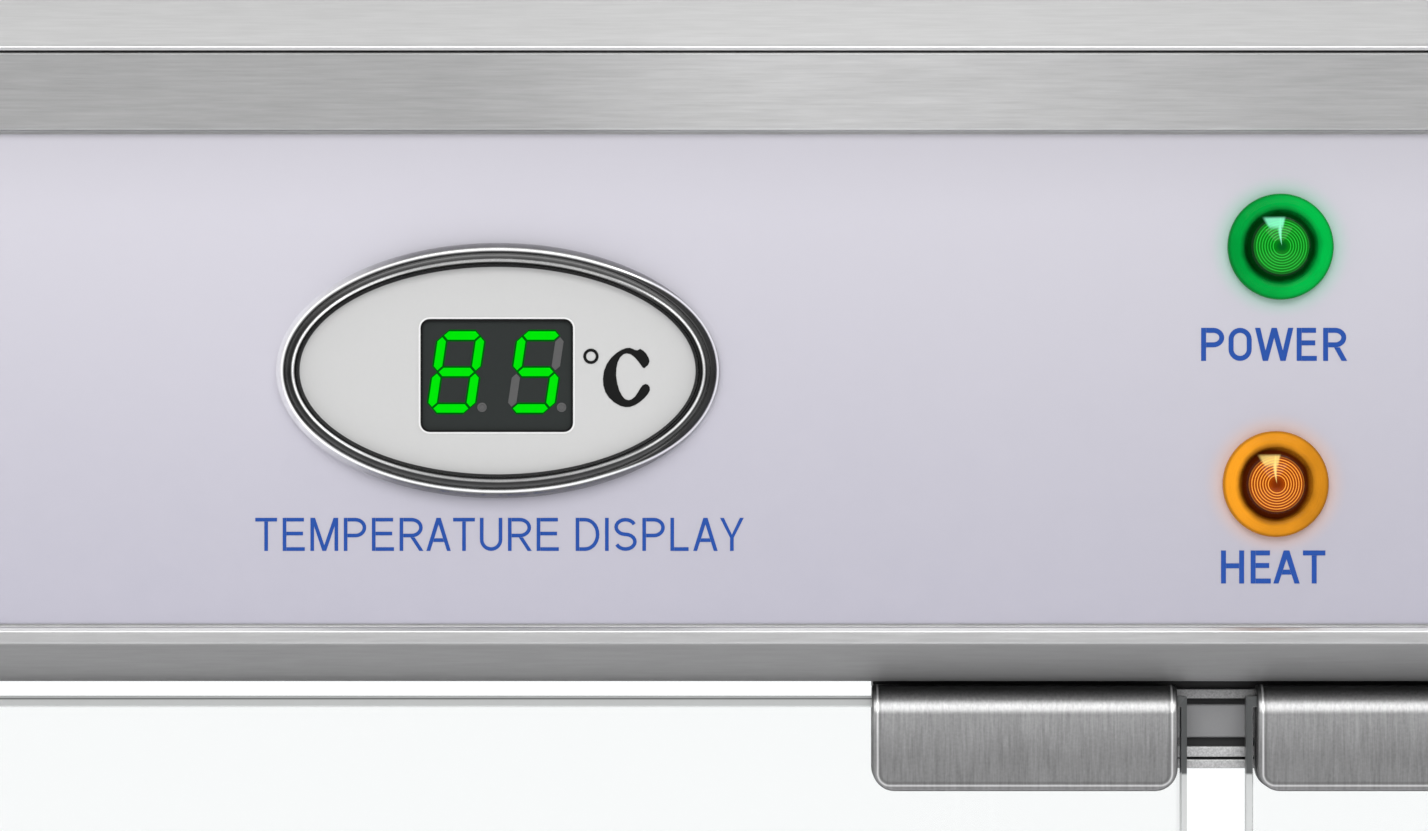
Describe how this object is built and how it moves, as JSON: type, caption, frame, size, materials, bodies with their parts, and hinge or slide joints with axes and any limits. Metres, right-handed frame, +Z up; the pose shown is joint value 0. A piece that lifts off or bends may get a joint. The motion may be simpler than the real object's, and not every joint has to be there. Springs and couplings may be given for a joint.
{
  "type": "glass-door warming cabinet",
  "caption": "Countertop warming cabinet with pivoted glass doors on a magnetic catch, an oval temperature display, pilot lamps and a thermostat in its header, and a water drawer below.",
  "frame": {"origin": "middle of the footprint, on the surface that the feet stand on", "axes": "+Z up, -Y out of the doors and the control face, +X to the right seen from the front"},
  "size_m": [0.6614, 0.5028, 0.61],
  "materials": {
    "brushed_steel": "horizontal fine brushed stainless",
    "clip_steel": "vertically brushed stainless",
    "polished_steel": "fine polished stainless",
    "liner_steel": "mill finish stainless",
    "shelf_chrome": "chromed wire",
    "rubber": "moulded matt",
    "heater_sheath": "oxidised heater sheath",
    "black_plastic": "moulded fine texture",
    "contact_brass": "bright contact pins",
    "door_glass": "clear tempered, ground edges",
    "case_glass": "clear tempered",
    "label_film": "pale lilac satin film",
    "white_enamel": "gloss white",
    "lamp_glass": "opal glass",
    "lens_diffuser": "frosted",
    "terminal_plastic": "moulded nylon",
    "thermostat_bakelite": "moulded phenolic",
    "screw_steel": "bright",
    "catch_plate_steel": "rolled edge, pickled",
    "ferrite": "ground ferrite",
    "bezel_chrome": "bright chrome plate",
    "display_grey": "satin light grey",
    "led_window": "dark smoked window",
    "green_lens": "translucent fresnel",
    "orange_lens": "translucent fresnel",
    "knob_plastic": "moulded satin",
    "rocker_plastic": "moulded gloss",
    "nylon": "natural nylon"
  },
  "bodies": {
    "cabinet": {"base_shell": "brushed_steel", "base_floor": "liner_steel", "floor_plate": "liner_steel", "rubber_feet": "rubber", "heating_elements": "heater_sheath", "element_brackets": "liner_steel", "drawer_runners": "liner_steel", "inlet_housing": "black_plastic", "inlet_pins": "contact_brass", "post_front_left": "brushed_steel", "post_front_right": "brushed_steel", "post_rear_left": "brushed_steel", "post_rear_right": "brushed_steel", "side_glass_left": "case_glass", "side_glass_right": "case_glass", "rear_glass": "case_glass", "shelf_standards": "liner_steel", "shelf_rails_left": "liner_steel", "shelf_rails_right": "liner_steel", "shelf_lower": "shelf_chrome", "shelf_upper": "shelf_chrome", "header_shell": "brushed_steel", "header_rim": "brushed_steel", "control_label": "label_film", "top_lid": "brushed_steel", "ceiling_pan": "liner_steel", "lamp_reflector": "white_enamel", "lamp_tube": "lamp_glass", "lamp_lens": "lens_diffuser", "terminal_block": "terminal_plastic", "case_screws": "screw_steel", "catch_core": "black_plastic", "catch_plates": "catch_plate_steel", "catch_magnet": "ferrite", "display_bezel": "bezel_chrome", "display_plate": "display_grey", "display_module": "led_window", "display_case": "black_plastic", "sensor_bulbs": "screw_steel", "power_lens": "green_lens", "heat_lens": "orange_lens", "pilot_lamp_bodies": "terminal_plastic", "thermostat_body": "thermostat_bakelite", "switch_frames": "black_plastic", "pivot_bushes": "nylon"},
    "door_left": {"door_left_glass": "door_glass", "door_left_strike": "clip_steel", "door_left_hinges": "clip_steel", "door_left_handle": "polished_steel"},
    "door_right": {"door_right_glass": "door_glass", "door_right_strike": "clip_steel", "door_right_hinges": "clip_steel", "door_right_handle": "polished_steel"},
    "thermostat": {"thermostat_knob": "knob_plastic", "knob_shaft": "polished_steel"},
    "power_rocker": {"power_rocker": "rocker_plastic"},
    "light_rocker": {"light_rocker": "rocker_plastic"},
    "water_tray": {"tray_pan": "liner_steel", "tray_front": "brushed_steel", "tray_pull": "polished_steel"}
  },
  "joints": [
    {"name": "door_left_swing", "type": "hinge", "parent": "cabinet", "child": "door_left", "pos_m": [-0.28295, -0.218, 0.317], "axis": [0, 0, -1], "range_deg": [0, 110]},
    {"name": "door_right_swing", "type": "hinge", "parent": "cabinet", "child": "door_right", "pos_m": [0.28295, -0.218, 0.317], "axis": [0, 0, 1], "range_deg": [0, 110]},
    {"name": "thermostat_turn", "type": "hinge", "parent": "cabinet", "child": "thermostat", "pos_m": [0.092, -0.2285, 0.56], "axis": [0, 1, 0], "range_deg": [-190, 80]},
    {"name": "power_switch_rock", "type": "hinge", "parent": "cabinet", "child": "power_rocker", "pos_m": [0.156, -0.2275, 0.5622], "axis": [1, 0, 0], "range_deg": [0, 18]},
    {"name": "light_switch_rock", "type": "hinge", "parent": "cabinet", "child": "light_rocker", "pos_m": [0.196, -0.2275, 0.5622], "axis": [1, 0, 0], "range_deg": [0, 18]},
    {"name": "water_tray_slide", "type": "slide", "parent": "cabinet", "child": "water_tray", "axis": [0, -1, 0], "range_m": [0, 0.22]}
  ]
}
